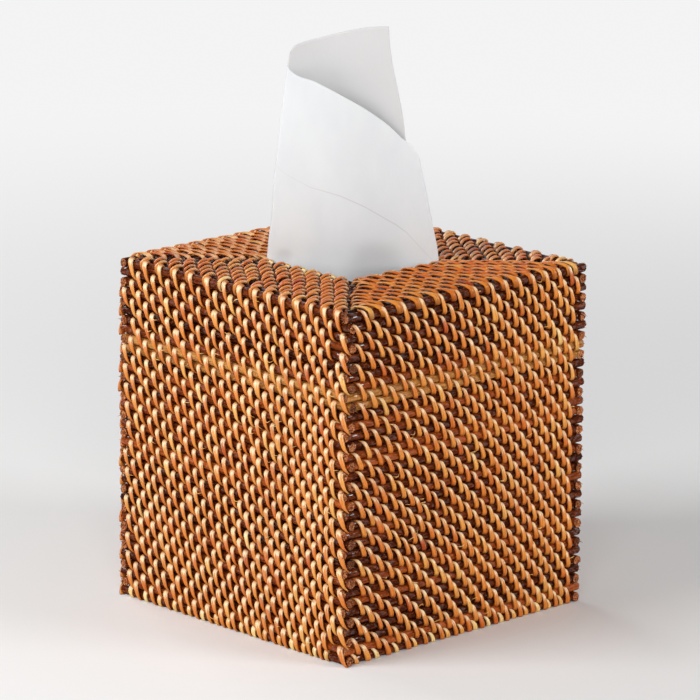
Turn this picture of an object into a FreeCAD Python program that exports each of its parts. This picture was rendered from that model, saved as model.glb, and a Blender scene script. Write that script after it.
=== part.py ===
import FreeCAD, Part
import math
import os

# A square tissue box cover of wound cane, set over a carton of tissues.
# Lengths are in millimetres, +Z is up, and the origin is the middle of the underside.
# The walls are courses of round canes laid on each other, four canes to a course.
# Each cane is drawn with flat sides, few enough to keep so many of them light.
# The top is a set of square rings of canes, one inside the other, round a square opening.
# At each corner one cane runs through and the other butts against it.
# The next course or ring swaps the two, as the logs of a cabin do.

# The carton that the cover is made to fit
carton_width = 112.0
board_thickness = 0.5
film_thickness = 0.2
mouth_margin = 16.0
film_margin = 8.0
pile_side_room = 2.5
pile_head_room = 8.5

# The canes of the cover
carton_side_room = 9.4
carton_head_room = 17.4
wall_cane_diameter = 3.9
ring_cane_diameter = 3.7
cane_sides = 16
cane_gap = 0.22
end_overhang = 0.4
butt_gap = 0.1
course_count = 36
ring_count = 10

# The tissue that stands in the opening
tissue_thickness = 0.8
leaf_panels = 8
tissue_rise = 100.0
tissue_corner_room = 0.6
neck_width = 40.0
slit_room = 2.0
pile_room = 0.3

# How far a cutting body runs past what it cuts
overrun = 5.0

# Places that follow from the sizes above
course_pitch = wall_cane_diameter + cane_gap
ring_pitch = ring_cane_diameter + cane_gap
wall_height = (course_count - 1) * course_pitch + wall_cane_diameter
wall_half_width = carton_width / 2 + carton_side_room + wall_cane_diameter
first_ring_half_width = wall_half_width - wall_cane_diameter - cane_gap
opening_half_width = first_ring_half_width - (ring_count - 1) * ring_pitch - ring_cane_diameter
ring_mid_height = wall_height - ring_cane_diameter / 2
carton_height = wall_height - ring_cane_diameter - carton_head_room
mouth_diameter = carton_width - 2 * mouth_margin
neck_foot = carton_height - pile_head_room + pile_room
tissue_half_width = opening_half_width * math.sqrt(2) - tissue_corner_room

# The tissue's outline, as shares of its half width and of its rise above the cover.
# The fold is on its left, and both leaves are free on the right.
fold_mid_shares = (-0.912, 0.41)
fold_top_shares = (-0.70, 1.02)
lens_mid_right_share = 0.765
lens_top_right_share = 0.60
front_fold_top_shares = (-0.77, 0.815)
flap_start_shares = (0.60, 0.52)
flap_round_shares = (0.71, 0.486)
flap_end_shares = (0.768, 0.43)
back_corner_start_shares = (-0.765, 0.85)
back_corner_round_shares = (-0.735, 0.905)
back_corner_end_shares = (-0.65, 0.925)
back_top_mid_shares = (-0.18, 0.972)
back_top_right_shares = (0.40, 1.0)
back_low_right_shares = (0.85, 0.0)

# How far each leaf bows out, as a share of the width across its section
bulge_share = 0.12


def cane(diameter, start, end):
    """One straight cane between the centres of its two cut ends, with its sides as flats."""
    run = end.sub(start)
    across = FreeCAD.Vector(run.y, -run.x, 0).normalize()
    upward = FreeCAD.Vector(0, 0, 1)
    half_turn = math.pi / cane_sides
    radius = diameter / 2 / math.cos(half_turn)
    corners = []
    for side in range(cane_sides + 1):
        angle = (2 * side + 1) * half_turn
        offset = across * (radius * math.cos(angle)) + upward * (radius * math.sin(angle))
        corners.append(start.add(offset))
    return Part.Face(Part.makePolygon(corners)).extrude(run)


def square_of_canes(diameter, half_width, overhang, mid_height, runs_along_x):
    """Four canes round a square, two running through and two butted between them."""
    centre = half_width - diameter / 2
    long_end = half_width + overhang
    short_end = half_width - diameter - butt_gap
    end_along_x = long_end if runs_along_x else short_end
    end_along_y = short_end if runs_along_x else long_end
    canes = []
    for side in (-1, 1):
        start = FreeCAD.Vector(-end_along_x, side * centre, mid_height)
        end = FreeCAD.Vector(end_along_x, side * centre, mid_height)
        canes.append(cane(diameter, start, end))
        start = FreeCAD.Vector(side * centre, -end_along_y, mid_height)
        end = FreeCAD.Vector(side * centre, end_along_y, mid_height)
        canes.append(cane(diameter, start, end))
    return Part.makeCompound(canes)


def wall_course(number):
    """One course of the wall, counted from 1 at the bottom."""
    mid_height = (number - 1) * course_pitch + wall_cane_diameter / 2
    along_x = number % 2 == 0
    return square_of_canes(wall_cane_diameter, wall_half_width, end_overhang, mid_height, along_x)


def top_ring(number):
    """One ring of the top, counted from 1 at the outside, level with the highest course.

    Its cut ends are flush, because the next ring out lies against them.
    """
    half_width = first_ring_half_width - (number - 1) * ring_pitch
    along_x = number % 2 == 1
    return square_of_canes(ring_cane_diameter, half_width, 0, ring_mid_height, along_x)


def block(width, low, high):
    """A square block round the Z axis between two heights."""
    corner = FreeCAD.Vector(-width / 2, -width / 2, low)
    return Part.makeBox(width, width, high - low, corner)


def carton_sleeve():
    """The four upright walls of the carton, folded from one board."""
    low = board_thickness
    high = carton_height - board_thickness
    inside = block(carton_width - 2 * board_thickness, low, high)
    return block(carton_width, low, high).cut(inside)


def carton_base():
    """The glued flaps that the carton stands on."""
    return block(carton_width, 0, board_thickness)


def carton_top():
    """The carton's top panel, with the round mouth torn open."""
    low = carton_height - board_thickness
    foot = FreeCAD.Vector(0, 0, low)
    mouth = Part.makeCylinder(mouth_diameter / 2, board_thickness, foot)
    return block(carton_width, low, carton_height).cut(mouth)


def tissue_pile():
    """The folded tissues that are still in the carton."""
    width = carton_width - 2 * board_thickness - 2 * pile_side_room
    return block(width, board_thickness, carton_height - pile_head_room)


def lens_points(left, right, height):
    """The corners of a flat lens across the fold plane, the section of the standing tissue."""
    bulge = bulge_share * (right - left)
    points = []
    for step in range(2 * leaf_panels):
        along = step / leaf_panels if step <= leaf_panels else 2 - step / leaf_panels
        side = -1 if step <= leaf_panels else 1
        across = side * bulge * 4 * along * (1 - along)
        points.append(FreeCAD.Vector(left + along * (right - left), across, height))
    return points


def flat_face(corners):
    """A flat face between corners given in order."""
    return Part.Face(Part.makePolygon(corners + corners[:1]))


def panelled_body(sections):
    """A solid through stacked sections of one shape, every panel of it flat."""
    faces = [flat_face(sections[0]), flat_face(sections[-1])]
    for lower, upper in zip(sections, sections[1:]):
        for here in range(len(lower)):
            after = (here + 1) % len(lower)
            faces.append(flat_face([lower[here], lower[after], upper[after], upper[here]]))
    body = Part.makeSolid(Part.makeShell(faces))
    body.fix(0, 0, 0)
    return body


def turned_to_opening(shape):
    """Turns a shape made across X into line with the opening's diagonal."""
    turned = shape.copy()
    turned.rotate(FreeCAD.Vector(0, 0, 0), FreeCAD.Vector(0, 0, 1), -45)
    return turned


def mouth_film():
    """The clear film glued under the top panel, with the slit that holds the tissue."""
    high = carton_height - board_thickness
    low = high - film_thickness
    foot = FreeCAD.Vector(0, 0, low)
    sheet = Part.makeCylinder(mouth_diameter / 2 + film_margin, film_thickness, foot)
    slit_half = neck_width / 2 + slit_room
    slit = flat_face(lens_points(-slit_half, slit_half, low))
    slit = slit.extrude(FreeCAD.Vector(0, 0, film_thickness))
    return turned_to_opening(sheet.cut(slit))


def outline_point(shares):
    """A point of the tissue's outline in its fold plane."""
    return FreeCAD.Vector(shares[0] * tissue_half_width, 0, wall_height + shares[1] * tissue_rise)


def tissue_lens(inset, past_ends):
    """The body between the two leaves, its sides drawn in by the inset."""
    tip_inset = inset / bulge_share / 2
    neck = neck_width / 2 - tip_inset
    rim = tissue_half_width - tip_inset
    fold_mid = outline_point(fold_mid_shares)
    fold_top = outline_point(fold_top_shares)
    mid_right = lens_mid_right_share * tissue_half_width - tip_inset
    top_right = lens_top_right_share * tissue_half_width - tip_inset
    sections = [
        lens_points(-neck, neck, neck_foot - past_ends),
        lens_points(-neck, neck, carton_height),
        lens_points(-rim, rim, ring_mid_height),
        lens_points(fold_mid.x + tip_inset, mid_right, fold_mid.z),
        lens_points(fold_top.x + tip_inset, top_right, fold_top.z + past_ends),
    ]
    return panelled_body(sections)


def leaf_room(outline, side):
    """The space on one side of the fold plane inside a leaf's outline."""
    depth = FreeCAD.Vector(0, side * (bulge_share * 2 * tissue_half_width + overrun), 0)
    return Part.Face(Part.Wire(Part.sortEdges(outline)[0])).extrude(depth)


def line(start, end):
    """A straight edge between two points."""
    return Part.makeLine(start, end)


def tissue():
    """A tissue folded along its left edge, with the front leaf turned down to a flap."""
    shell = tissue_lens(0, 0).cut(tissue_lens(tissue_thickness, overrun))
    far = tissue_half_width + overrun
    low = neck_foot - overrun

    fold_top = outline_point(front_fold_top_shares)
    flap_start = outline_point(flap_start_shares)
    flap_end = outline_point(flap_end_shares)
    flap_round = Part.Arc(flap_start, outline_point(flap_round_shares), flap_end)
    low_left = FreeCAD.Vector(-far, 0, low)
    low_right = FreeCAD.Vector(far, 0, low)
    high_left = FreeCAD.Vector(-far, 0, fold_top.z)
    high_right = FreeCAD.Vector(far, 0, flap_end.z)
    front_outline = [
        line(low_left, high_left),
        line(high_left, fold_top),
        line(fold_top, flap_start),
        flap_round.toShape(),
        line(flap_end, high_right),
        line(high_right, low_right),
        line(low_right, low_left),
    ]

    corner_start = outline_point(back_corner_start_shares)
    corner_end = outline_point(back_corner_end_shares)
    top_right = outline_point(back_top_right_shares)
    free_mid = outline_point(flap_start_shares)
    free_low = outline_point(back_low_right_shares)
    foot_right = FreeCAD.Vector(free_low.x, 0, low)
    corner = Part.Arc(corner_start, outline_point(back_corner_round_shares), corner_end)
    top_edge = Part.Arc(corner_end, outline_point(back_top_mid_shares), top_right)
    side_left = FreeCAD.Vector(-far, 0, corner_start.z)
    back_outline = [
        line(low_left, side_left),
        line(side_left, corner_start),
        corner.toShape(),
        top_edge.toShape(),
        line(top_right, free_mid),
        line(free_mid, free_low),
        line(free_low, foot_right),
        line(foot_right, low_left),
    ]

    front = shell.common(leaf_room(front_outline, -1))
    back = shell.common(leaf_room(back_outline, 1))
    return turned_to_opening(front.fuse(back).removeSplitter())


def export(name, shape):
    """Writes one sub-part and prints its size."""
    shape.exportStep(os.path.join("parts", name + ".step"))
    print(name, "solids", len(shape.Solids), "valid", shape.isValid(), "volume", round(shape.Volume, 1))


os.makedirs("parts", exist_ok=True)
for number in range(1, course_count + 1):
    export("wall_course_%02d" % number, wall_course(number))
for number in range(1, ring_count + 1):
    export("top_ring_%02d" % number, top_ring(number))
export("carton_sleeve", carton_sleeve())
export("carton_base", carton_base())
export("carton_top", carton_top())
export("mouth_film", mouth_film())
export("tissue_pile", tissue_pile())
export("tissue", tissue())
print("wall height", wall_height, "opening", 2 * opening_half_width, "carton height", carton_height)
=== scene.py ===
import math

import bpy
import numpy as np
from mathutils import Matrix, Vector

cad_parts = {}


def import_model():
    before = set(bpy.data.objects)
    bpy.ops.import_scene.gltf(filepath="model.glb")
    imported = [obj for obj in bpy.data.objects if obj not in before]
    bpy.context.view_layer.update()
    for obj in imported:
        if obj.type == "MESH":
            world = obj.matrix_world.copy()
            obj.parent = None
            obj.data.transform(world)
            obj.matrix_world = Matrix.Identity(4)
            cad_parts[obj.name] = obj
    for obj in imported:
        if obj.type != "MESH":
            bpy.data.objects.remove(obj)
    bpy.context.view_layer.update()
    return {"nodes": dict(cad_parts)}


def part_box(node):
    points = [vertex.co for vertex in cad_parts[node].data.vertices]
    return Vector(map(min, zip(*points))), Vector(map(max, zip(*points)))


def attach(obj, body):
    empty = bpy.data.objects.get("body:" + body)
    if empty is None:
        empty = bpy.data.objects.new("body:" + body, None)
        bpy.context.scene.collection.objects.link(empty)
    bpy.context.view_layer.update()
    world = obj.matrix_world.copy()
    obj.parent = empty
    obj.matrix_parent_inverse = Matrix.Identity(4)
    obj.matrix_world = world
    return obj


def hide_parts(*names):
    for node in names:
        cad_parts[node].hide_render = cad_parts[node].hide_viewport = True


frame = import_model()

# Lengths are in millimetres until a mesh is made, which is in metres as the frame is.
MM = 0.001
UP = np.array([0.0, 0.0, 1.0])
COURSES = 36
RINGS = 10
# The courses, counted from the foot, whose canes are red brown or pale
BROWN_COURSES = {2, 7, 9, 17, 21, 22, 25, 29}
PALE_COURSES = {27, 28}
# The gap between a cane's end and the side of the cane that it butts against
BUTT_GAP = 0.1
# The angles of the camera that was fitted to the cover's corners in the photograph, in degrees
AZIMUTH, ELEVATION, ROLL = -44.22, 14.07, 0.578


def chance(*seed):
    """A source of random numbers that gives the same ones in every run."""
    return np.random.default_rng(list(seed))


def smooth_line(table, at):
    """A smooth curve through a table of places, with no overshoot between them."""
    xs, ys = np.array(table, float).T
    steps, slopes = np.diff(xs), np.diff(ys) / np.diff(xs)
    tangent = np.concatenate([[slopes[0]], np.zeros(len(slopes) - 1), [slopes[-1]]])
    for i in range(1, len(slopes)):
        if slopes[i - 1] * slopes[i] > 0:
            w1, w2 = 2 * steps[i] + steps[i - 1], steps[i] + 2 * steps[i - 1]
            tangent[i] = (w1 + w2) / (w1 / slopes[i - 1] + w2 / slopes[i])
    at = np.clip(at, xs[0], xs[-1])
    i = np.clip(np.searchsorted(xs, at) - 1, 0, len(steps) - 1)
    t = (at - xs[i]) / steps[i]
    return (
        (2 * t**3 - 3 * t**2 + 1) * ys[i] + (t**3 - 2 * t**2 + t) * steps[i] * tangent[i]
        + (3 * t**2 - 2 * t**3) * ys[i + 1] + (t**3 - t**2) * steps[i] * tangent[i + 1]
    )


# ---- meshes

def put_in_scene(name, data):
    """An object in the scene of a mesh, a lamp or a camera."""
    thing = bpy.data.objects.new(name, data)
    bpy.context.scene.collection.objects.link(thing)
    return thing


def make_piece(name, points, faces, materials, body, material_index=None, attributes=None, smooth=True):
    """A mesh piece from points in millimetres, riding on a body."""
    mesh = bpy.data.meshes.new(name)
    points = np.asarray(points, float) * MM
    mesh.from_pydata(points.tolist(), [], faces)
    for key, values in (attributes or {}).items():
        values = np.asarray(values, np.float32)
        kind, field = ("FLOAT_VECTOR", "vector") if values.ndim == 2 else ("FLOAT", "value")
        mesh.attributes.new(key, kind, "POINT").data.foreach_set(field, values.ravel())
    for material in materials:
        mesh.materials.append(material)
    if material_index is not None:
        mesh.polygons.foreach_set("material_index", np.asarray(material_index, np.int32))
    mesh.polygons.foreach_set("use_smooth", np.full(len(mesh.polygons), smooth))
    mesh.update()
    piece = put_in_scene(name, mesh)
    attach(piece, body)
    return piece


class Bundle:
    """Gathers the tubes of one piece."""

    def __init__(self):
        self.points, self.faces, self.index, self.count = [], [], [], 0
        self.attributes = {"grain": [], "tone": [], "part": []}

    def add(self, points, faces, index, grain, tone, part=0.0):
        """Adds a tube, cut off at the floor.

        The index is of each face's material. Each point has a grain, which is its place in the noise,
        a tone, from dark to light, and a part, from -1 at a stitch's top to 1 at its foot.
        """
        points[:, 2] = np.maximum(points[:, 2], 0.0)
        self.points.append(points)
        self.faces += [tuple(v + self.count for v in face) for face in faces]
        self.index += index
        each = np.ones(len(points))
        for values, more in zip(self.attributes.values(), (grain, tone * each, part * each)):
            values.append(more)
        self.count += len(points)

    def piece(self, name, materials, body, slot):
        """Makes all the tubes into one piece."""
        points = np.concatenate(self.points)
        attributes = {key: np.concatenate(values) for key, values in self.attributes.items()}
        return make_piece(name, points, self.faces, materials, body, self.index, attributes)


def tube_faces(rings, sides):
    """The faces of a tube of rings, with a cap at each end."""
    faces = []
    for ring in range(rings - 1):
        a, b = ring * sides, (ring + 1) * sides
        for side in range(sides):
            after = (side + 1) % sides
            faces.append((a + side, a + after, b + after, b + side))
    first, last = tuple(range(sides)), tuple(range((rings - 1) * sides, rings * sides))
    return faces + [first[::-1], last]


def thin_tube(middles, sizes, one, two):
    """The points and faces of a thin tube along a line, with two directions across it."""
    sides = 5
    turns = [2 * math.pi * side / sides for side in range(sides)]
    points = [
        middle + size * one * math.cos(turn) + size * two * math.sin(turn)
        for middle, size in zip(middles, sizes) for turn in turns
    ]
    return np.array(points), tube_faces(len(middles), sides)


# ---- materials

class Nodes:
    """Shorthand for the nodes of a material or world. The methods from math to between give an output."""

    def __init__(self, name, kind=bpy.data.materials):
        self.made = kind.new(name)
        self.made.use_nodes = True
        self.tree = self.made.node_tree
        self.shader = self.tree.nodes.get("Principled BSDF")

    def new(self, kind, inputs=(), **settings):
        """A shader node, with values or links for its inputs."""
        node = self.tree.nodes.new("ShaderNode" + kind)
        for key, value in settings.items():
            setattr(node, key, value)
        for key, value in dict(inputs).items():
            self.give(node.inputs[key], value)
        return node

    def give(self, socket, value):
        if isinstance(value, bpy.types.NodeSocket):
            self.tree.links.new(value, socket)
        elif isinstance(value, bpy.types.Node):
            self.tree.links.new(value.outputs[0], socket)
        else:
            socket.default_value = value

    def set(self, **values):
        """Values or links for the shader's sockets, with _ for a space."""
        for key, value in values.items():
            self.give(self.shader.inputs[key.replace("_", " ")], value)

    def math(self, operation, first, second=0.0, clamp=False):
        node = self.new("Math", {0: first, 1: second}, operation=operation, use_clamp=clamp)
        return node.outputs[0]

    def plus(self, first, second):
        return self.math("ADD", first, second)

    def minus(self, first, second):
        return self.math("SUBTRACT", first, second)

    def times(self, first, second):
        return self.math("MULTIPLY", first, second)

    def attribute(self, name, output="Fac"):
        return self.new("Attribute", attribute_name=name, attribute_type="GEOMETRY").outputs[output]

    def place(self):
        return self.new("TexCoord").outputs["Object"]

    def noise(self, vector, scales, detail, roughness, shift=(0, 0, 0)):
        """Noise with its own scale along each axis."""
        mapping = self.new("Mapping", {"Vector": vector, "Scale": scales, "Location": shift})
        inputs = {"Vector": mapping.outputs[0], "Scale": 1.0, "Detail": detail, "Roughness": roughness}
        return self.new("TexNoise", inputs).outputs["Fac"]

    def ramp(self, factor, stops):
        """Colours at places from 0 to 1."""
        node = self.new("ValToRGB", {"Fac": factor})
        elements = node.color_ramp.elements
        while len(elements) < len(stops):
            elements.new(0.5)
        for element, (place, colour) in zip(elements, stops):
            element.position = place
            element.color = (*colour, 1)
        return node.outputs["Color"]

    def mix(self, factor, first, second):
        """The first colour at a factor of 0, the second at 1."""
        node = self.new("Mix", data_type="RGBA", blend_type="MIX")
        self.give(node.inputs[0], factor)
        for socket, value in ((node.inputs[6], first), (node.inputs[7], second)):
            self.give(socket, (*value, 1) if isinstance(value, tuple) else value)
        return node.outputs[2]

    def between(self, value, low, high, out_low=0.0, out_high=1.0):
        """A value from one range as a smooth step in another."""
        node = self.new(
            "MapRange",
            {"Value": value, "From Min": low, "From Max": high, "To Min": out_low, "To Max": out_high},
            interpolation_type="SMOOTHSTEP",
        )
        return node.outputs["Result"]

    def bump(self, height, strength, distance):
        node = self.new("Bump", {"Height": height, "Strength": strength, "Distance": distance})
        self.give(self.shader.inputs["Normal"], node.outputs["Normal"])


def srgb(red, green, blue):
    """A colour as a picture shows it, from 0 to 255, as the linear values that shaders take."""
    shares = (red / 255, green / 255, blue / 255)
    return tuple(c / 12.92 if c <= 0.04 else ((c + 0.055) / 1.055) ** 2.4 for c in shares)


def cane_material(name, dark, middle, light):
    """Lacquered round cane: long streaks, worn patches and a gloss that comes and goes."""
    n = Nodes(name)
    grain = n.attribute("grain", "Vector")
    tone = n.attribute("tone")
    streaks = n.noise(grain, (0.06, 1.6, 1.6), 4.0, 0.6)
    fine = n.noise(grain, (0.35, 7.0, 7.0), 3.0, 0.6)
    patches = n.noise(grain, (0.09, 0.5, 0.5), 2.0, 0.5)
    shade = n.plus(n.times(streaks, 0.55), n.times(patches, 0.45))
    shade = n.plus(shade, n.times(n.minus(tone, 0.5), 0.25))
    colour = n.ramp(shade, [(0.32, dark), (0.53, middle), (0.76, light)])
    colour = n.mix(n.between(fine, 0.46, 0.66, 0.0, 0.6), colour, tuple(c * 0.35 for c in middle))
    pores = n.noise(grain, (0.8, 1.9, 1.9), 3.0, 0.7)
    colour = n.mix(n.between(pores, 0.54, 0.68, 0.0, 0.7), colour, light)
    colour = n.mix(n.between(pores, 0.34, 0.44, 0.6, 0.0), colour, dark)
    n.set(Base_Color=colour, Roughness=n.between(patches, 0.3, 0.7, 0.34, 0.55))
    n.set(Specular_IOR_Level=0.03, Specular_Tint=(1.0, 0.80, 0.62, 1))
    glints = n.noise(grain, (0.45, 0.9, 0.9), 2.0, 0.5, (7, 3, 5))
    n.set(Coat_Weight=n.between(glints, 0.50, 0.60), Coat_Roughness=0.07, Coat_IOR=1.5)
    n.bump(n.plus(n.times(pores, 0.5), n.times(fine, 0.5)), 0.6, 0.0003)
    return n.made


def cut_end_material():
    """The torn, porous end of a cane, with its rind dark round it."""
    n = Nodes("cane_cut_end")
    grain = n.attribute("grain", "Vector")
    tone = n.attribute("tone")
    voronoi = n.new("TexVoronoi", {"Vector": grain, "Scale": 3.4, "Randomness": 1.0}, feature="F1")
    pores = voronoi.outputs["Distance"]
    rough = n.noise(grain, (1.0, 1.5, 1.5), 4.0, 0.7)
    body = n.ramp(rough, [(0.38, srgb(80, 32, 12)), (0.50, srgb(184, 102, 54)), (0.62, srgb(236, 168, 116))])
    colour = n.mix(n.between(pores, 0.08, 0.36, 0.75, 0.0), body, srgb(52, 20, 9))
    colour = n.mix(n.between(tone, 0.0, 0.6, 0.80, 0.0), colour, srgb(60, 24, 12))
    n.set(Base_Color=colour, Roughness=0.75, Specular_IOR_Level=0.2)
    n.bump(n.minus(rough, n.between(pores, 0.1, 0.4, 0.5, 0.0)), 0.9, 0.0005)
    return n.made


def peel_material(name, painted_highlight_share, coat):
    """Split peel, one tone to a stitch, a share of painted highlight on its bends, under a weight of
    lacquer.
    """
    n = Nodes(name)
    grain = n.attribute("grain", "Vector")
    tone = n.attribute("tone")
    part = n.attribute("part")
    across = n.new("SeparateXYZ", {0: grain}).outputs["Y"]
    ridges = n.noise(grain, (0.05, 1.8, 1.0), 2.0, 0.6)
    lines = n.noise(grain, (0.12, 3.4, 1.0), 3.0, 0.65)
    blots = n.noise(grain, (0.30, 0.55, 1.0), 3.0, 0.6)
    specks = n.noise(grain, (0.55, 2.2, 1.0), 2.0, 0.5)
    base = n.ramp(tone, [
        (0.00, srgb(168, 61, 13)), (0.12, srgb(200, 87, 19)), (0.38, srgb(216, 112, 30)),
        (0.62, srgb(227, 138, 50)), (0.86, srgb(238, 170, 80)), (1.00, srgb(250, 218, 144)),
    ])
    colour = n.mix(n.between(lines, 0.46, 0.68, 0.0, 0.62), base, srgb(146, 60, 14))
    colour = n.mix(n.between(ridges, 0.52, 0.68, 0.0, 0.28), colour, srgb(240, 178, 92))
    colour = n.mix(n.between(blots, 0.58, 0.80, 0.0, 0.28), colour, srgb(240, 180, 96))
    colour = n.mix(n.between(specks, 0.68, 0.80, 0.0, 0.70), colour, srgb(80, 34, 14))
    # Painted highlight: pale cream over the upper bend of each stitch, in streaks, stronger on its left side
    streaks = n.noise(grain, (0.16, 2.4, 1.0), 2.0, 0.55)
    reach = n.plus(part, n.times(n.minus(streaks, 0.5), -1.5))
    cap, trail = n.between(reach, -0.50, -0.24, 1.0, 0.0), n.between(reach, -0.30, 0.20, 0.17, 0.0)
    bend = n.times(n.between(part, -0.84, -0.62), n.math("MAXIMUM", cap, trail))
    painted_highlight = n.times(bend, n.between(n.plus(blots, n.times(lines, 0.4)), 0.45, 0.80, 0.70, 1.00))
    painted_highlight = n.times(painted_highlight, n.between(across, 0.2, 1.0, 1.0, 0.55))
    colour = n.mix(n.times(painted_highlight, painted_highlight_share), colour, srgb(253, 233, 190))
    # Painted shade: darker at the strip's edges, at its foot and where it comes out from behind its upper
    # cane
    edge = n.between(n.math("ABSOLUTE", across), 0.86, 1.30, 0.0, 0.70)
    foot = n.between(part, 0.30, 1.0, 0.0, 0.62)
    root = n.between(part, -1.0, -0.72, 0.45, 0.0)
    dark = n.math("MAXIMUM", edge, n.math("MAXIMUM", foot, root))
    colour = n.mix(dark, colour, srgb(112, 38, 8))
    n.set(Base_Color=colour, Roughness=n.between(blots, 0.3, 0.7, 0.30, 0.46))
    n.set(Specular_IOR_Level=0.05, Specular_Tint=(1.0, 0.86, 0.70, 1))
    n.set(Coat_Weight=coat, Coat_Roughness=0.15, Coat_IOR=1.36)
    n.bump(n.plus(n.times(ridges, 0.7), n.times(lines, 0.3)), 0.75, 0.0004)
    return n.made


def make_paper(n, place, cloud, colour):
    """Gives a material the soft, matt surface of two-ply paper, with a faint crepe."""
    crepe = n.noise(place, (900, 900, 420), 3.0, 0.6)
    n.set(Base_Color=colour, Roughness=0.92, Specular_IOR_Level=0.15, Sheen_Weight=0.10, Sheen_Roughness=0.6)
    n.bump(n.plus(crepe, n.times(cloud, 0.5)), 0.22, 0.0002)


def stacked_paper_material():
    """The paper of the pile."""
    n = Nodes("tissue_stack")
    place = n.place()
    cloud = n.noise(place, (60, 60, 45), 3.0, 0.55)
    colour = n.mix(n.between(cloud, 0.35, 0.7, 0.0, 0.6), srgb(238, 238, 236), srgb(226, 226, 225))
    make_paper(n, place, cloud, colour)
    return n.made


def standing_paper_material(crease, hollows):
    """The paper of the standing tissue, with the painted shade of a hair-thin crease, the soft painted shade
    of its hollows and a back leaf painted greyer as shade.

    The sheet's attribute holds a place's distance across and up, and its leaf: 1 in front, 0 behind.
    """
    n = Nodes("standing_tissue")
    place = n.place()
    sheet = n.new("SeparateXYZ", {0: n.attribute("sheet", "Vector")}).outputs
    across, up, leaf = sheet["X"], sheet["Y"], sheet["Z"]
    cloud = n.noise(place, (55, 55, 30), 3.0, 0.55)
    front = n.mix(n.between(cloud, 0.35, 0.7), srgb(227, 229, 230), srgb(222, 224, 227))
    # Painted shade: the back leaf is greyer than the front one
    colour = n.mix(leaf, srgb(211, 210, 210), front)
    # A ramp holds the crease's height at each place across, as a share of a height above them all
    first, last, tall = crease[0][0], crease[-1][0], 400.0
    stops = [((s - first) / (last - first), (z / tall,) * 3) for s, z in crease]
    line = n.times(n.ramp(n.math("DIVIDE", n.minus(across, first), last - first), stops), tall)
    off = n.math("ABSOLUTE", n.minus(up, line))
    # Painted shade along the crease, fainter towards both its ends
    crease_shade = n.times(n.between(off, 0.05, 0.45, 1.0, 0.0), leaf)
    strength = n.times(crease_shade, n.between(across, -30.0, 4.0, 0.25, 1.0))
    strength = n.times(strength, n.between(across, 19.0, 30.0, 1.0, 0.4))
    colour = n.mix(n.times(strength, 0.55), colour, srgb(196, 190, 190))
    for s, z, wide, high, _, share in hollows:
        x = n.math("DIVIDE", n.minus(across, s), wide)
        y = n.math("DIVIDE", n.minus(up, z), high)
        far = n.plus(n.times(x, x), n.times(y, y))
        fade = n.between(far, 0.0, 1.9, 1.0, 0.0)
        inside = n.times(n.times(n.times(fade, fade), share), leaf)
        colour = n.mix(inside, colour, srgb(196, 195, 197))
    make_paper(n, place, cloud, colour)
    return n.made


def board_material():
    """Plain coated carton board, a little cloudy, with a faint fibre."""
    n = Nodes("carton_board")
    place = n.place()
    cloud = n.noise(place, (35, 35, 35), 4.0, 0.6)
    fibre = n.noise(place, (900, 900, 250), 2.0, 0.6)
    base = n.mix(n.between(cloud, 0.3, 0.7), srgb(206, 203, 194), srgb(210, 207, 199))
    n.set(Base_Color=n.mix(n.between(fibre, 0.5, 0.75, 0.0, 0.20), base, srgb(192, 188, 178)))
    n.set(Roughness=n.between(cloud, 0.3, 0.7, 0.48, 0.62))
    n.bump(fibre, 0.15, 0.0002)
    return n.made


def film_material():
    """Thin clear film, slightly wavy."""
    n = Nodes("clear_film")
    n.set(Base_Color=(0.95, 0.96, 0.97, 1), Roughness=0.08, IOR=1.12, Transmission_Weight=1.0)
    n.bump(n.noise(n.place(), (70, 45, 70), 2.0, 0.5), 0.4, 0.001)
    return n.made


DARK = cane_material("cane_dark", srgb(28, 7, 2), srgb(80, 29, 9), srgb(158, 77, 33))
# The top's canes are a darker copy of the walls': painted shade in the gaps between the top's stitches
TOP_SHADED_CANE = cane_material("cane_of_the_top", srgb(14, 4, 2), srgb(42, 15, 6), srgb(104, 50, 24))
BROWN = cane_material("cane_brown", srgb(66, 22, 6), srgb(134, 58, 20), srgb(196, 102, 46))
PALE = cane_material("cane_pale", srgb(124, 70, 28), srgb(190, 126, 62), srgb(222, 170, 100))
CUT_END = cut_end_material()
PEEL = peel_material("peel", 0.9, 0.6)
TOP_PEEL = peel_material("peel_of_the_top", 0.5, 0.35)

# ---- canes

SIDES = 20
CANE_SECTIONS = 26
# How far a cane swells, as a share of its radius, and how far it strays sideways and up
SWELL, WAVER, LIFT = 0.018, 0.05, 0.04
# The sections of a cut end from its middle out to its rind: how far inside the end each lies, its
# share of the radius and how ragged it is. The round sections begin further inside.
CUT_SECTIONS = [(0.15, 0.25, 0.20), (0.15, 0.55, 0.18), (0.15, 0.84, 0.12), (0.06, 0.95, 0.07)]
ROUND_INSET = 0.35
# How far a cane that runs through a corner of the wall ends short of its place or past it
PROUD = (-0.35, 0.25)


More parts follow.
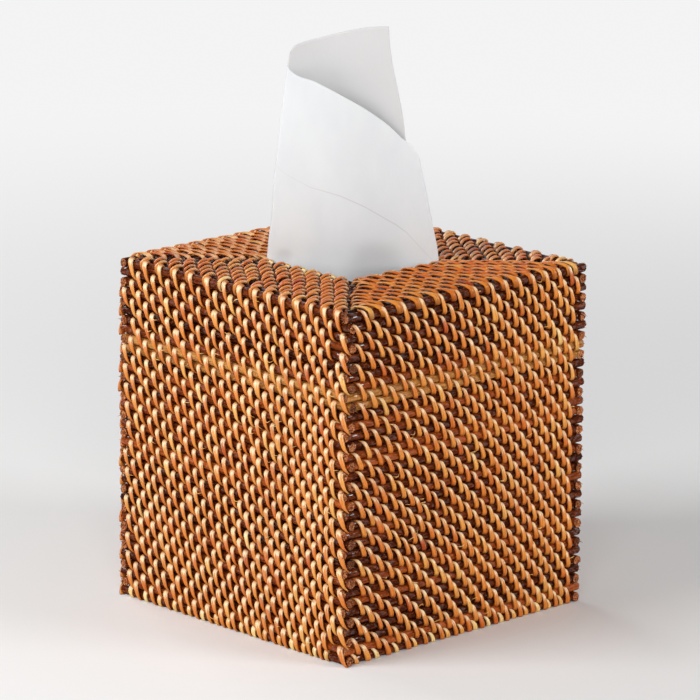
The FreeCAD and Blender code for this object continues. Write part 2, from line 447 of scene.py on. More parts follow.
def cane(bundle, along, start, end, line, height, radius, number, tone, open_ends):
    """One round cane with small swellings, a slight waver and rough cut ends.

    It runs along X or Y at a distance from the middle, between two ends.
    """
    pick = chance(11, number)
    places = np.linspace(start + ROUND_INSET, end - ROUND_INSET, CANE_SECTIONS)

    def wave(size, shortest, longest):
        return size * np.sin(places / pick.uniform(shortest, longest) + pick.uniform(0, 6))

    shape = 1 + wave(SWELL, 9, 15) + pick.normal(0, 0.006, CANE_SECTIONS)
    waver, lift = wave(WAVER, 16, 26), wave(LIFT, 16, 26)
    angles = 2 * math.pi * np.arange(SIDES) / SIDES
    rings, grain = [], []
    shift = pick.uniform(0, 900)

    def ring(place, size, i, rough=0.0, slant=(0.0, 0.0)):
        ragged = pick.normal(0, rough, SIDES) if rough else 0
        wobble = size * (1 + (pick.normal(0, 0.06, SIDES) if rough else 0))
        flat = line + waver[i] + wobble * np.cos(angles)
        tall = height + lift[i] + wobble * np.sin(angles)
        far = place + ragged + slant[0] * size * np.cos(angles) + slant[1] * size * np.sin(angles)
        rings.append(np.stack([far, flat, tall] if along == "x" else [flat, far, tall], 1))
        grain.append(np.stack([far + shift, size * np.cos(angles), size * np.sin(angles)], 1))

    first_slant, last_slant = pick.normal(0, 0.10, (2, 2))
    for inset, share, rough in CUT_SECTIONS:
        ring(start + inset, radius * share, 0, rough, first_slant)
    for i, place in enumerate(places):
        ring(place, radius * shape[i], i)
    for inset, share, rough in reversed(CUT_SECTIONS):
        ring(end - inset, radius * share, -1, rough, last_slant)
    faces = [face if along == "x" else face[::-1] for face in tube_faces(len(rings), SIDES)]
    ends, bands = len(CUT_SECTIONS) - 1, len(rings) - 1
    cut = [int(band < ends or band >= bands - ends) for band in range(bands) for _ in range(SIDES)]
    points = np.concatenate(rings)
    bundle.add(points, faces, cut + [1, 1], np.concatenate(grain), tone)
    if open_ends:
        for place, way in ((start, -1.0), (end, 1.0)):
            for _ in range(pick.integers(6, 12)):
                splinter(bundle, along, place, way, line, height, radius, pick)


def splinter(bundle, along, place, way, line, height, radius, pick):
    """A torn fibre that stands out of a cut end."""
    turn, out = pick.uniform(0, 2 * math.pi), radius * math.sqrt(pick.uniform(0.02, 0.8))
    root = np.array([place - way * 0.25, line + out * math.cos(turn), height + out * math.sin(turn)])
    length, thick = pick.uniform(0.6, 1.7), pick.uniform(0.14, 0.30)
    lean = np.array([way, *pick.normal(0, 0.28, 2)])
    droop = np.array([0.0, *pick.normal(0, 0.10, 2)])
    shares = [i / 3 for i in range(4)]
    middles = [root + lean * length * share + droop * length * share * share for share in shares]
    sizes = [thick * (1 - 0.8 * share) for share in shares]
    points, faces = thin_tube(middles, sizes, np.array([0.0, 1.0, 0.0]), 0.6 * UP)
    if along == "y":
        points = points[:, [1, 0, 2]]
    if (way > 0) != (along == "x"):
        faces = [face[::-1] for face in faces]
    points[:, 2] = np.maximum(points[:, 2], 0.0)
    tone = pick.uniform(0.7, 1.0)
    bundle.add(points, faces, [1] * len(faces), points * 1.3 + pick.uniform(0, 50), tone)


def square_of_canes(name, seed, material, slot):
    """Four detailed canes in the place of one course or ring of the frame.

    Gives the height of their middles, how far those are from the cover's middle, and their radius.
    """
    low, high = (np.array(v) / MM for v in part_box(name))
    radius, height = (high[2] - low[2]) / 2, (high[2] + low[2]) / 2
    half = min(high[0], high[1])
    wall = name.startswith("wall")
    runs_x = int(name[-2:]) % 2 == (0 if wall else 1)
    short = half - 2 * radius - BUTT_GAP
    end_x, end_y = (high[0], short) if runs_x else (short, high[1])
    centre = half - radius
    bundle = Bundle()
    pick = chance(5, seed)
    for k, side in enumerate((-1, 1)):
        for axis, reach in (("x", end_x), ("y", end_y)):
            through = wall and reach > half
            first, last = pick.uniform(*PROUD, 2) if through else (0, 0)
            tone = float(np.clip(pick.normal(0.5, 0.28), 0, 1))
            number = seed * 8 + k * 2 + (axis == "y")
            line = side * centre
            cane(bundle, axis, -reach - first, reach + last, line, height, radius, number, tone, through)
    piece = bundle.piece("cane_" + name, [material, CUT_END], "cover", slot)
    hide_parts(name)
    return height, centre, radius


# Keeps the rings' seeds clear of the courses'
RING_SEED = 100
levels = {}
for number in range(1, COURSES + 1):
    material, slot = DARK, "dark_cane"
    if number in BROWN_COURSES:
        material, slot = BROWN, "brown_cane"
    if number in PALE_COURSES:
        material, slot = PALE, "pale_cane"
    levels["wall", number] = square_of_canes("wall_course_%02d" % number, number, material, slot)
for number in range(1, RINGS + 1):
    name, seed = "top_ring_%02d" % number, RING_SEED + number
    levels["ring", number] = square_of_canes(name, seed, TOP_SHADED_CANE, "dark_cane")

# ---- binding

PEEL_WIDTH = 2.12
PEEL_THICKNESS = 0.7
# How far a stitch bows out past its canes, on the walls and on the top
WALL_BULGE, TOP_BULGE = 0.5, 0.75
# A stitch's sections on its shown and hidden sides
SHOWN_STEPS, HIDDEN_STEPS = 11, 4
# A stitch of the walls goes back behind before the top of its upper cane
WALL_TOP = 0.55
# How it bends over its upper cane and round its lower one: 1 is an ellipse, less is squarer
BEND_UP, BEND_LOW = 0.55, 0.85
# A stitch turns its top to the right and its foot to the left
TWIST = math.radians(24)
# The strip's section, across and out, as shares of its width and thickness
SECTION = np.array([
    (-0.50, -0.50), (-0.49, 0.08), (-0.37, 0.36), (-0.16, 0.46),
    (0.16, 0.46), (0.37, 0.36), (0.49, 0.08), (0.50, -0.50),
])
WALL_HALF = 69.3
# How far short of a wall's ends its rows of stitches stop, and how much more on the right
END_ROOM, RIGHT_ROOM, FOOT_RIGHT_ROOM = 3.4, 2.0, 1.5
# Stitches stand in columns, which fan out and close up again from the foot of a wall to its top. At
# some heights, how far columns 0, 4, 8, 12 and 16 are from the wall's left corner.
COLUMNS_A = {
    5: (11.5, 48.5, 80.5, 110.5, 138.0),
    30: (11.0, 43.0, 76.5, 106.0, 134.5),
    60: (5.0, 39.5, 76.0, 107.5, 134.5),
    95: (0.5, 37.0, 73.5, 107.0, 134.5),
    145: (-0.5, 36.0, 75.5, 110.0, 141.5),
}
COLUMNS_B = {
    5: (0.0, 45.5, 79.0, 110.0, 138.0),
    30: (3.0, 46.0, 80.5, 111.0, 138.5),
    60: (4.0, 41.5, 79.0, 110.5, 137.5),
    95: (-8.0, 39.5, 77.5, 109.5, 138.0),
    145: (-11.0, 32.0, 73.5, 108.0, 138.0),
}
COLUMN_STEP, LAST_COLUMN = 4, 17
CORNER = 70.0
# For each face, its columns, the directions out and to the right as seen from outside, and how far a
# stitch leans from top to foot at the left and right ends
FACES = {
    "left": (COLUMNS_A, (-1, 0), (0, -1), 3.8, 2.3),
    "right": (COLUMNS_B, (0, -1), (1, 0), 5.8, 2.8),
    "back": (COLUMNS_A, (0, 1), (-1, 0), 3.8, 2.3),
    "far": (COLUMNS_B, (1, 0), (0, 1), 5.2, 2.8),
}


def directions(face):
    """The directions out of a face and to the right along it."""
    return [np.array([*way, 0.0]) for way in FACES[face][1:3]]


def column_place(face, number, height):
    """How far right of a face's middle a column of stitches stands at a height."""
    heights = []
    for level, corners in FACES[face][0].items():
        line = [(COLUMN_STEP * i, corner) for i, corner in enumerate(corners)]
        inside = min(max(number, 0), line[-1][0])
        pitch = (corners[1] - corners[0]) / COLUMN_STEP
        heights.append((level, float(smooth_line(line, inside)) + (number - inside) * pitch))
    return float(smooth_line(heights, height)) - CORNER


def turns_between(start, foot, end):
    """The angles of a stitch's sections, down its shown side and up its hidden one."""
    hidden = np.linspace(foot, end, HIDDEN_STEPS + 2)[1:-1]
    return np.concatenate([np.linspace(start, foot, SHOWN_STEPS), hidden])


def over(outer, inner, reach_out, reach_in, foot):
    """The way of the strip once round two canes of the top, as loop gives it.

    It starts at the inner cane's far side and goes over both, then down the outer one to its foot, an
    angle in degrees from the upright.
    """
    # It passes from cane to cane within this angle of the upright
    cross = 35
    places, outs = [], []
    for number, angle in enumerate(turns_between(-90, foot, 270)):
        shown = number < SHOWN_STEPS
        share = (angle + cross) / (2 * cross) if shown else (180 + cross - angle) / (2 * cross)
        share = min(max(share, 0.0), 1.0)
        way = np.array([math.sin(math.radians(angle)), math.cos(math.radians(angle))])
        reach = reach_in + (reach_out - reach_in) * share
        reach += TOP_BULGE * max(way[1], 0) ** 2 if shown else -0.1
        places.append(inner + (outer - inner) * share + way * reach)
        outs.append(way)
    return ways_along(np.array(places), np.array(outs))


def loop(lower, upper, reach_low, reach_up, top):
    """The way of the strip once round two canes, seen along them, or round one cane.

    It starts over the upper cane, at a share of its top, bows over the shown side to the lower cane's
    foot and goes back behind. Gives what ways_along does.
    """
    gap = np.linalg.norm(upper - lower)
    run = (upper - lower) / gap if gap > 1e-6 else np.array([0.0, 1.0])
    shown = np.array([run[1], -run[0]])
    middle = (upper + lower) / 2
    reach = (reach_low + reach_up) / 2
    bulge = WALL_BULGE if gap > 1e-6 else 0.0
    places, outs = [], []
    for turn in turns_between(0, math.pi, 2 * math.pi):
        c, t = math.cos(turn), math.sin(turn)
        along = gap / 2 + (reach_up * top if c > 0 else reach_low)
        across = reach + (bulge if t > 1e-9 else 0.0)
        out = run * c / along + shown * t / across
        outs.append(out / np.linalg.norm(out))
        if bulge and t > 1e-9:
            bend = BEND_UP if c > 0 else BEND_LOW
            c, t = math.copysign(abs(c) ** bend, c), t ** bend
        places.append(middle + run * along * c + shown * across * t)
    return ways_along(np.array(places), np.array(outs))


def ways_along(places, outs):
    """Adds to a stitch's places how far along its shown and hidden ways each lies, as a share.

    Then come how far along its whole way each lies and how long that is.
    """
    steps = np.linalg.norm(np.diff(np.vstack([places, places[:1]]), axis=0), axis=1)
    way = np.concatenate([[0], np.cumsum(steps)])
    foot = way[SHOWN_STEPS - 1]
    shown_way = way[:SHOWN_STEPS] / foot
    hidden_way = (way[SHOWN_STEPS:-1] - foot) / (way[-1] - foot)
    return places, outs, shown_way, hidden_way, way[:-1], way[-1]


def strip(bundle, face, way_round, stitches):
    """Peel wound along one face round a pair of canes, the way that loop or over gives.

    Each stitch is its place, lean, width, tone and how proud it stands.
    """
    outward, right = directions(face)
    places, outs, shown_way, hidden_way, way, whole = way_round
    runs = []
    for k, (place, lean, width, tone, proud) in enumerate(stitches):
        after, used = (place + lean * 0.9 + 3.0, lean, width, tone, proud), len(way)
        start, end = place - lean / 2, place + lean / 2
        if k + 1 < len(stitches):
            after = stitches[k + 1]
        else:
            # The strip's end is tucked in behind, or cut off at the wall's end
            used = SHOWN_STEPS - 1 if end > WALL_HALF - 1 else SHOWN_STEPS + 2
        next_start = after[0] - after[1] / 2
        along = np.concatenate([start + lean * shown_way, end + (next_start - end) * hidden_way])[:used]
        share = np.concatenate([np.zeros(SHOWN_STEPS), hidden_way])[:used]
        twist = TWIST * np.concatenate([1 - 2 * shown_way, 2 * hidden_way - 1])[:used]
        spot = places[:used] + outs[:used] * (proud + 0.5 * np.abs(np.sin(twist)))[:, None]
        runs.append((
            outward * spot[:, :1] + UP * spot[:, 1:] + right * along[:, None],
            outward * outs[:used, :1] + UP * outs[:used, 1:],
            width + (after[2] - width) * share,
            tone + (after[3] - tone) * (share > 0.5),
            way[:used] + k * whole,
            np.concatenate([2 * shown_way - 1, np.ones(len(hidden_way))])[:used],
            twist[:, None],
        ))
    path, normals, widths, tones, lengths, parts, twists = map(np.concatenate, zip(*runs))
    tangents = np.gradient(path, axis=0)
    tangents /= np.linalg.norm(tangents, axis=1)[:, None]
    sideways = np.cross(tangents, normals)
    sideways /= np.linalg.norm(sideways, axis=1)[:, None]
    normals = np.cross(sideways, tangents)
    sideways, normals = (
        sideways * np.cos(twists) + normals * np.sin(twists),
        normals * np.cos(twists) - sideways * np.sin(twists),
    )
    across = SECTION[:, 0] * widths[:, None]
    height = SECTION[:, 1] * PEEL_THICKNESS
    points = path[:, None, :] + sideways[:, None, :] * across[..., None]
    points = (points + normals[:, None, :] * height[:, None]).reshape(-1, 3)
    sides = len(SECTION)
    faces = tube_faces(len(path), sides)
    # Each stitch has its own place in the noise
    serial = np.repeat(np.round(lengths / whole - 0.5 + 1e-6), sides)
    grain = np.stack([
        np.repeat(lengths, sides),
        (across * (PEEL_WIDTH / widths[:, None])).ravel(),
        serial * 7.3 + bundle.count * 0.01,
    ], 1)
    bundle.add(points, faces, [0] * len(faces), grain, np.repeat(tones, sides), np.repeat(parts, sides))


def stitch_tone(pick):
    """Mostly golden, some pale and a few reddish."""
    draw = pick.random()
    if draw < 0.015:
        return pick.uniform(0.0, 0.15)
    if draw > 0.96:
        return pick.uniform(0.80, 0.92)
    return float(np.clip(pick.normal(0.54, 0.10), 0.3, 0.8))


def row_of_stitches(face, row, height, reach_left, reach_right, pick):
    """The stitches of one row that fit between the two ends of its canes."""
    left_lean, right_lean = FACES[face][3:]
    drift, row_tone = pick.normal(0, 0.15), pick.normal(0, 0.03)
    stitches = []
    for count in range(-1, LAST_COLUMN + 1):
        number = count + (0.0 if row % 2 else 0.5)
        along = column_place(face, number, height) + drift + pick.normal(0, 0.28)
        share = np.clip(along / 2 / WALL_HALF + 0.5, 0, 1)
        lean = left_lean + (right_lean - left_lean) * share + pick.normal(0, 0.25)
        width = PEEL_WIDTH * (1 + pick.normal(0, 0.07))
        tone = float(np.clip(stitch_tone(pick) + row_tone, 0, 1))
        proud = pick.uniform(-0.05, 0.12)
        if pick.random() < 0.03:
            width *= pick.uniform(1.15, 1.35)
        if reach_left <= along <= reach_right:
            stitches.append([along, lean, width, tone, proud])
    return stitches


# How much of a row of the top may stay bare at a corner
BARE_END = 4.6
# The stitch at the right end of every second row on two faces: its distance from the wall's end, the
# ranges of its lean and width, and how proud it stands. Other stitches keep clear of it.
END_PLACE, END_LEAN, END_WIDTH, END_PROUD, END_CLEAR = 2.3, (4.2, 5.4), (2.3, 2.8), 0.15, 9.0
# How the lean, width and tone of stitches change on the top and in its outermost row, and how far
# they come round their outer cane, in degrees. The darker tone of the top is painted shade.
TOP_LEAN, TOP_WIDTH, TOP_SHADE_TONE, TOP_FOOT = 0.85, 0.86, -0.15, 90
EDGE_WIDTH, EDGE_TONE, EDGE_FOOT = 1.10, 0.08, 122
# The same for a short stitch, which goes round one cane
SHORT_LEAN, SHORT_TONE = 0.55, 0.38
# How far past the middle of its inner canes a row of the top reaches, less room at its ends
TOP_REACH, TOP_LEFT_ROOM, TOP_RIGHT_ROOM = 1.85, 6.2, 2.6


def fill_ends(stitches, reach_left, reach_right, pick):
    """Adds a stitch where a row of the top would stay bare at a corner."""
    width, tone = PEEL_WIDTH * 0.95, stitch_tone(pick)
    if stitches[0][0] - reach_left > BARE_END:
        stitches.insert(0, [reach_left + pick.uniform(0.2, 1.0), 3.8, width, tone, 0.0])
    if reach_right - stitches[-1][0] > BARE_END:
        stitches.append([reach_right - pick.uniform(0.2, 1.0), 2.4, width, tone, 0.0])


def middle_of(kind, number):
    """A course's or ring's middle, across and up, and the reach of the strip round it."""
    height, centre, radius = levels[kind, number]
    return np.array([centre, height]), radius + PEEL_THICKNESS / 2


def bind(name, kind, row, lower, upper, left, right):
    """One row of binding round all four faces, from a reach on the left to one on the right.

    Its kind is wall or ring, for two canes of the walls or the top, or short, for one cane.
    """
    (lower, reach_low), (upper, reach_up) = middle_of(*lower), middle_of(*upper)
    outermost, below_top = row == COURSES, kind == "wall" and row < COURSES - 1
    bundle = Bundle()
    for face_number, face in enumerate(FACES):
        pick = chance(23, face_number, row)
        stitches = row_of_stitches(face, row, (lower[1] + upper[1]) / 2, -left, right, pick)
        if not stitches:
            continue
        if below_top and row % 2 and face in ("left", "back"):
            stitches = [stitch for stitch in stitches if stitch[0] < WALL_HALF - END_CLEAR]
            place = WALL_HALF - END_PLACE + pick.normal(0, 0.35)
            lean, width = pick.uniform(*END_LEAN), pick.uniform(*END_WIDTH)
            stitches.append([place, lean, width, stitch_tone(pick), END_PROUD])
        if kind == "ring":
            fill_ends(stitches, -left, right, pick)
            for stitch in stitches:
                stitch[0] += pick.normal(0, 0.35)
                stitch[1] *= TOP_LEAN + pick.normal(0, 0.08)
                stitch[2] *= EDGE_WIDTH if outermost else TOP_WIDTH
                stitch[3] = min(max(stitch[3] + (EDGE_TONE if outermost else TOP_SHADE_TONE), 0.0), 1.0)
        if kind == "short":
            for stitch in stitches:
                stitch[1] *= SHORT_LEAN
                stitch[3] = min(max(stitch[3] + SHORT_TONE, 0.0), 1.0)
        if kind == "ring":
            way_round = over(lower, upper, reach_low, reach_up, EDGE_FOOT if outermost else TOP_FOOT)
        else:
            way_round = loop(lower, upper, reach_low, reach_up, WALL_TOP if below_top else 1.0)
        strip(bundle, face, way_round, stitches)
    bundle.piece(name, [TOP_PEEL if kind == "ring" else PEEL], "cover", "peel_binding")


reach = WALL_HALF - END_ROOM
bind("binding_foot", "short", 0, ("wall", 1), ("wall", 1), reach, reach - FOOT_RIGHT_ROOM)
for number in range(1, COURSES):
    pair = ("wall", number), ("wall", number + 1)
    bind("binding_row_%02d" % number, "wall", number, *pair, reach, reach - RIGHT_ROOM)
for number in range(RINGS):
    pair = ("ring", number) if number else ("wall", COURSES), ("ring", number + 1)
    reach = levels["ring", number + 1][1] + TOP_REACH
    reaches = reach - TOP_LEFT_ROOM, reach - TOP_RIGHT_ROOM
    bind("binding_ring_%02d" % number, "ring", COURSES + number, *pair, *reaches)
reach = levels["ring", RINGS][1] - END_ROOM
bind("binding_rim", "short", COURSES + RINGS, ("ring", RINGS), ("ring", RINGS), reach, reach)

# ---- frayed fibres

FIBRES_PER_WALL = 46
FIBRE_GRAIN = (0.7, 0.0, 0.7)


def frayed_fibres():
    """Fine curls that the peel's edges have shed, on all four walls."""
    bundle = Bundle()
    for face_number, face in enumerate(FACES):
        outward, right = directions(face)
        pick = chance(31, face_number)
        for _ in range(FIBRES_PER_WALL):
            row = int(pick.integers(1, COURSES))
            low, high = levels["wall", row], levels["wall", row + 1]
            height = (low[0] + high[0]) / 2 + pick.uniform(-0.5, 2.6)
            number = pick.integers(0, LAST_COLUMN) + (0.0 if row % 2 else 0.5)
            across = column_place(face, number, height) + pick.uniform(-0.6, 1.2)
            if abs(across) > WALL_HALF - 5:
                continue
            length, thick = pick.uniform(1.8, 4.2), pick.uniform(0.13, 0.20)
            curl, rise = pick.normal(0, 0.35), pick.normal(0.08, 0.22)
            shares, middles = [i / 8 for i in range(9)], []
            for share in shares:
                bend = math.sin(math.pi * share)
                off = CORNER + 0.2 + pick.normal(0, 0.02) + 0.9 * bend
                tall = height + length * (rise * share + curl * bend * 0.5)
                middles.append(outward * off + right * (across + length * share) + UP * tall)
            sizes = [thick * (1 - 0.75 * (2 * share - 1) ** 2) for share in shares]
            points, faces = thin_tube(middles, sizes, outward, UP)
            bundle.add(points, faces, [0] * len(faces), points * FIBRE_GRAIN, pick.uniform(0.85, 1.0))
    bundle.piece("frayed_fibres", [PEEL], "cover", "peel_binding")


frayed_fibres()

# ---- tissue

# The slope that the camera looks down at
TILT = math.tan(math.radians(ELEVATION))
# Where the tissue's gathered foot stands on the pile
FOOT = 118.9
# The tissue as the camera sees it: how far across its fold and its free edges are at some heights, and
# how high its upper edges and its crease are at some places across
FOLD_LINE = [
    (FOOT, -19.0), (126.5, -20.3), (134.0, -26.5), (142.0, -34.9), (146.3, -36.4), (154.0, -35.9),
    (168.7, -34.4), (184.0, -33.5), (189.5, -32.9), (208.6, -30.9), (225.0, -28.9), (233.5, -28.0),
    (252.0, -26.2),
]
FRONT_EDGE = [
    (FOOT, 19.0), (126.5, 20.3), (134.0, 26.5), (142.0, 34.4), (146.3, 36.1), (152.0, 35.6),
    (163.7, 33.3), (177.0, 30.7), (191.0, 27.7), (210.0, 24.0), (232.0, 20.0),
]
BACK_EDGE = [
    (FOOT, 17.0), (126.5, 18.3), (134.0, 24.0), (142.0, 30.0), (147.5, 32.0), (160.0, 30.0),
    (199.2, 21.6), (209.3, 20.3), (221.7, 17.9), (231.1, 15.8), (242.1, 14.3), (249.0, 13.9),
]
FRONT_TOP = [
    (-28.6, 233.0), (-27.6, 229.6), (-16.0, 223.8), (-5.0, 218.0), (5.1, 212.4), (14.0, 206.2),
    (21.6, 199.4), (23.3, 198.3), (25.5, 196.1), (27.0, 193.6), (27.7, 191.0), (29.0, 186.0),
]
BACK_TOP = [
    (-28.6, 233.0), (-27.5, 236.4), (-25.7, 239.2), (-21.5, 241.4), (-16.0, 243.1), (-4.6, 246.1),
    (6.9, 248.0), (13.9, 248.2), (18.0, 248.2),
]
CREASE = [
    (-32.9, 188.7), (-28.6, 184.7), (-18.5, 179.2), (-5.4, 175.4), (4.7, 171.0), (17.8, 163.6),
    (22.3, 160.4), (31.0, 151.0), (36.0, 146.0),
]
# Two soft hollows: across, up, half width, half height, depth and how much shade lies in it
HOLLOWS = [(9.5, 145.5, 12.5, 11.5, 0.7, 0.60), (-29.0, 149.5, 4.0, 3.5, 0.4, 0.35)]
# How far the leaves stand out, as a share of their width, and where they stand furthest
FRONT_BOW, BACK_BOW, BOW_PLACE = 0.118, 0.105, 0.42
RIPPLE = 0.35
TWO_PLIES = 0.2


def bow(share):
    """How far a leaf stands out, from the fold at 0 to its free edge at 1."""
    bend = 1 - (1 - np.clip(share / BOW_PLACE, 0, 1)) ** 1.7
    fall = 0.5 + 0.5 * np.cos(np.clip((share - BOW_PLACE) / (1 - BOW_PLACE), 0, 1) * math.pi)
    return np.where(share < BOW_PLACE, bend, 0.14 + 0.86 * fall)


def leaf(front, columns, rows):
    """One leaf of the tissue as rows of places across, back and up, from the fold to the free edge."""
    edge, top = (FRONT_EDGE, FRONT_TOP) if front else (BACK_EDGE, BACK_TOP)
    share = 0.5 * np.sin(np.linspace(0, math.pi / 2, columns)) + 0.5 * np.linspace(0, 1, columns) ** 1.6
    # Each column's top comes closer to the slanted upper edge with every try
    highest = np.full(columns, 225.0)
    for _ in range(60):
        s = smooth_line(FOLD_LINE, highest)
        s = s + share * (smooth_line(edge, highest) - s)
        highest = 0.5 * highest + 0.5 * smooth_line(top, s)
    z = FOOT + (highest - FOOT) * np.linspace(0, 1, rows)[:, None]
    left, right = smooth_line(FOLD_LINE, z), smooth_line(edge, z)
    s = left + share * (right - left)
    out = bow(share)
    deep = (right - left) * (-FRONT_BOW if front else BACK_BOW) * out
    deep = deep + RIPPLE * np.sin(s / 9.0 + z / 23.0) * np.clip((z - 150) / 20, 0, 1) * out
    if front:
        for across, up, wide, high, depth, _ in HOLLOWS:
            deep += depth * np.exp(-1.6 * (((s - across) / wide) ** 2 + ((z - up) / high) ** 2))
    return s, deep, z


def tissue():
    """The tissue that stands in the opening: two leaves of one sheet, bent round on the left."""
    columns, rows = 70, 130
    back, front = leaf(False, columns, rows), leaf(True, columns, rows)
    s, t, z = (np.concatenate([f[:, ::-1], b[:, 1:]], 1) for f, b in zip(front, back))
    in_front = np.repeat([[1.0] * columns + [0.0] * (columns - 1)], rows, 0)
    sheet = np.stack([s, z, in_front], 2).reshape(-1, 3)
    # The camera looks down, so what is nearer looks lower: above the foot, this sets it right
    z = z - t * TILT * np.clip((z - 125) / 15, 0, 1)
    diagonal = 1 / math.sqrt(2)
    points = np.stack([(s + t) * diagonal, (t - s) * diagonal, z], 2)
    wide = points.shape[1]
    corners = [row * wide + column for row in range(rows - 1) for column in range(wide - 1)]
    faces = [(a, a + 1, a + wide + 1, a + wide) for a in corners]
    piece = make_piece(
        "standing_tissue", points.reshape(-1, 3), faces, [standing_paper_material(CREASE, HOLLOWS)],
        "tissue", attributes={"sheet": sheet},
    )
    thick = piece.modifiers.new("two_plies", "SOLIDIFY")
    thick.thickness, thick.offset = TWO_PLIES * MM, 0.0
    rising, falling = points[1:, 1:] - points[:-1, :-1], points[1:, :-1] - points[:-1, 1:]
    area = np.linalg.norm(np.cross(rising, falling), axis=2).sum() / 2 * MM * MM
    return piece, area


standing, standing_area = tissue()
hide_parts("tissue")


def stack():
    """The folded tissues in the carton, a little uneven at their edges and wavy on top."""
    low, high = (np.array(v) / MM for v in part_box("tissue_pile"))
    pick = chance(41)
    leaves, count, margin = 46, 15, 0.8
    last, size = count - 1, count * count
    rim = list(range(count)) + [count * i + last for i in range(1, count)]
    rim += [count * last + i for i in range(last - 1, -1, -1)] + [count * i for i in range(last - 1, 0, -1)]
    points, faces = [], []
    heights = np.linspace(low[2], high[2], leaves + 1)
    for number in range(leaves):
        inset, shift = abs(pick.normal(0, 0.35)), pick.normal(0, 0.25, 2)
        reach = high[0] - margin - inset
        grid = np.linspace(-reach, reach, count)
        gx, gy = np.meshgrid(grid, grid)
        bottom = np.full_like(gx, heights[number] + 0.02)
        top = np.full_like(gx, heights[number + 1] - 0.18)
        if number == leaves - 1:
            top = top - 0.5 + 0.45 * np.sin(gx / 17.0 + 1) * np.cos(gy / 23.0)
        base = len(points)
        for level in (bottom, top):
            points += np.stack([gx + shift[0], gy + shift[1], level], 2).reshape(-1, 3).tolist()
        for row in range(last):
            for column in range(last):
                a = base + row * count + column
                b = a + size
                faces += [(a, a + count, a + count + 1, a + 1), (b, b + 1, b + count + 1, b + count)]
        for here, after in zip(rim, rim[1:] + rim[:1]):
            faces.append((base + here, base + after, base + after + size, base + here + size))
    piece = make_piece(
        "folded_tissues", points, faces, [stacked_paper_material()], "carton", smooth=False
    )
    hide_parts("tissue_pile")


stack()

# ---- carton

BOARD, FILM = board_material(), film_material()
for node in ("carton_sleeve", "carton_base", "carton_top", "mouth_film"):
    material = FILM if node == "mouth_film" else BOARD
    slots = frame["nodes"][node].data.materials
    slots.clear()
    slots.append(material)

# ---- stage, light and camera

FLOOR = (0.88, 0.88, 0.88, 1)
# What is seen far off
BACKDROP = (0.90, 0.90, 0.90, 1)
# Where the floor begins and ends to turn into the backdrop, in metres from the middle
FADE = (0.30, 1.10)
FLOOR_HALF = 8.0


def looked_at(n):
    """1 for what is seen at once, mirrored or through film, and 0 for the light that falls on things."""
    path = n.new("LightPath").outputs
    seen = n.plus(path["Is Camera Ray"], path["Is Glossy Ray"])
    return n.math("ADD", seen, path["Is Transmission Ray"], clamp=True)


def stage():
    """A pale floor that turns into the backdrop to the camera and to glossy surfaces."""
    n = Nodes("floor")
    n.tree.nodes.remove(n.shader)
    diffuse = n.new("BsdfDiffuse", {"Color": FLOOR})
    glow = n.new("Emission", {"Color": BACKDROP, "Strength": 1.0})
    away = n.new("VectorMath", {0: n.new("NewGeometry").outputs["Position"]}, operation="LENGTH")
    share = n.times(looked_at(n), n.between(away.outputs["Value"], *FADE))
    mix = n.new("MixShader", {0: share, 1: diffuse, 2: glow})
    n.give(n.tree.nodes["Material Output"].inputs["Surface"], mix)
    mesh = bpy.data.meshes.new("floor")
    corners = [(x * FLOOR_HALF, y * FLOOR_HALF, 0) for x, y in ((-1, -1), (1, -1), (1, 1), (-1, 1))]
    mesh.from_pydata(corners, [], [(0, 1, 2, 3)])
    mesh.materials.append(n.made)
    floor = put_in_scene("floor", mesh)
    floor.location.z = -0.0001


def world(ambient):
    """Even light from all round, in place of which the camera and glossy surfaces see the backdrop."""
    n = Nodes("studio", bpy.data.worlds)
    bpy.context.scene.world = n.made
    light = n.tree.nodes["Background"]
    n.give(light.inputs["Color"], (1, 1, 1, 1))
    n.give(light.inputs["Strength"], ambient)
    seen = n.new("Background", {"Color": BACKDROP, "Strength": 1.0})
    mix = n.new("MixShader", {0: looked_at(n), 1: light, 2: seen})
    n.give(n.tree.nodes["World Output"].inputs["Surface"], mix)


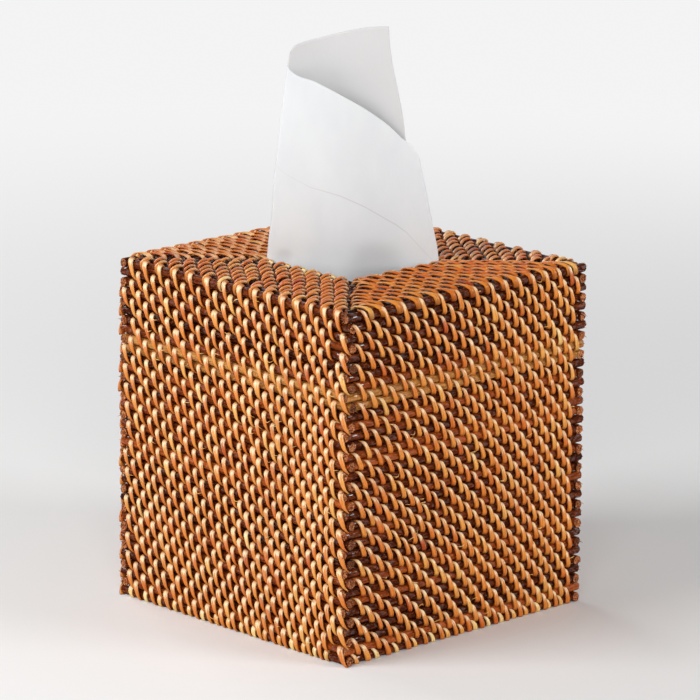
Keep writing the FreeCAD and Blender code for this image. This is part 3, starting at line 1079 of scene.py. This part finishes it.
def direction(azimuth, elevation):
    """The direction at angles, in degrees, round from the front and up from the floor."""
    a, e = math.radians(azimuth), math.radians(elevation)
    return Vector((math.sin(a) * math.cos(e), -math.cos(a) * math.cos(e), math.sin(e)))


def lamp(name, azimuth, elevation, distance, size, power):
    """A soft rectangular lamp that faces the object."""
    light = bpy.data.lights.new(name, "AREA")
    light.shape, light.size, light.size_y = "RECTANGLE", *size
    light.energy = power
    piece, way = put_in_scene(name, light), direction(azimuth, elevation)
    piece.location = Vector((0, 0, 0.1)) + way * distance
    piece.rotation_mode = "QUATERNION"
    piece.rotation_quaternion = (-way).to_track_quat("-Z", "Y")


# The rest of the fitted camera: its focal length and picture in pixels, how far off and to the right
# it stands and the height that it faces in widths of the cover, that width, and how far the fit's
# floor lies under the scene's
FOCAL, PICTURE = 4756.46, 700
DISTANCE, ASIDE, AIM = 14.376, -0.00704, 0.78188
COVER_WIDTH, DROP = 0.140, 0.0003


def camera():
    """The photograph's place, lens and tilt."""
    azimuth, roll = math.radians(AZIMUTH), math.radians(ROLL)
    back = direction(AZIMUTH, ELEVATION)
    right = Vector((math.cos(azimuth), math.sin(azimuth), 0))
    up = back.cross(right)
    rolled = right * math.cos(roll) + up * math.sin(roll), up * math.cos(roll) - right * math.sin(roll)
    data = bpy.data.cameras.new("camera")
    data.sensor_width, data.lens = 36.0, 36.0 * FOCAL / PICTURE
    data.clip_start, data.clip_end = 0.05, 60.0
    place = Vector((0, 0, AIM)) + back * DISTANCE + right * ASIDE
    turn = Matrix((*rolled, back)).transposed().to_4x4()
    piece = put_in_scene("camera", data)
    piece.matrix_world = Matrix.Translation(place * COVER_WIDTH - Vector((0, 0, DROP))) @ turn
    bpy.context.scene.camera = piece


stage()
world(0.17)
lamp("key", -110, 33, 1.6, (0.9, 0.8), 18.6)
lamp("front", -46, 24, 1.8, (0.7, 0.5), 8.4)
lamp("fill", 24, 16, 1.8, (0.7, 0.6), 16.0)
lamp("back", 174, 26, 1.8, (0.9, 0.6), 9.0)
camera()
bpy.context.scene.view_settings.view_transform = "Standard"
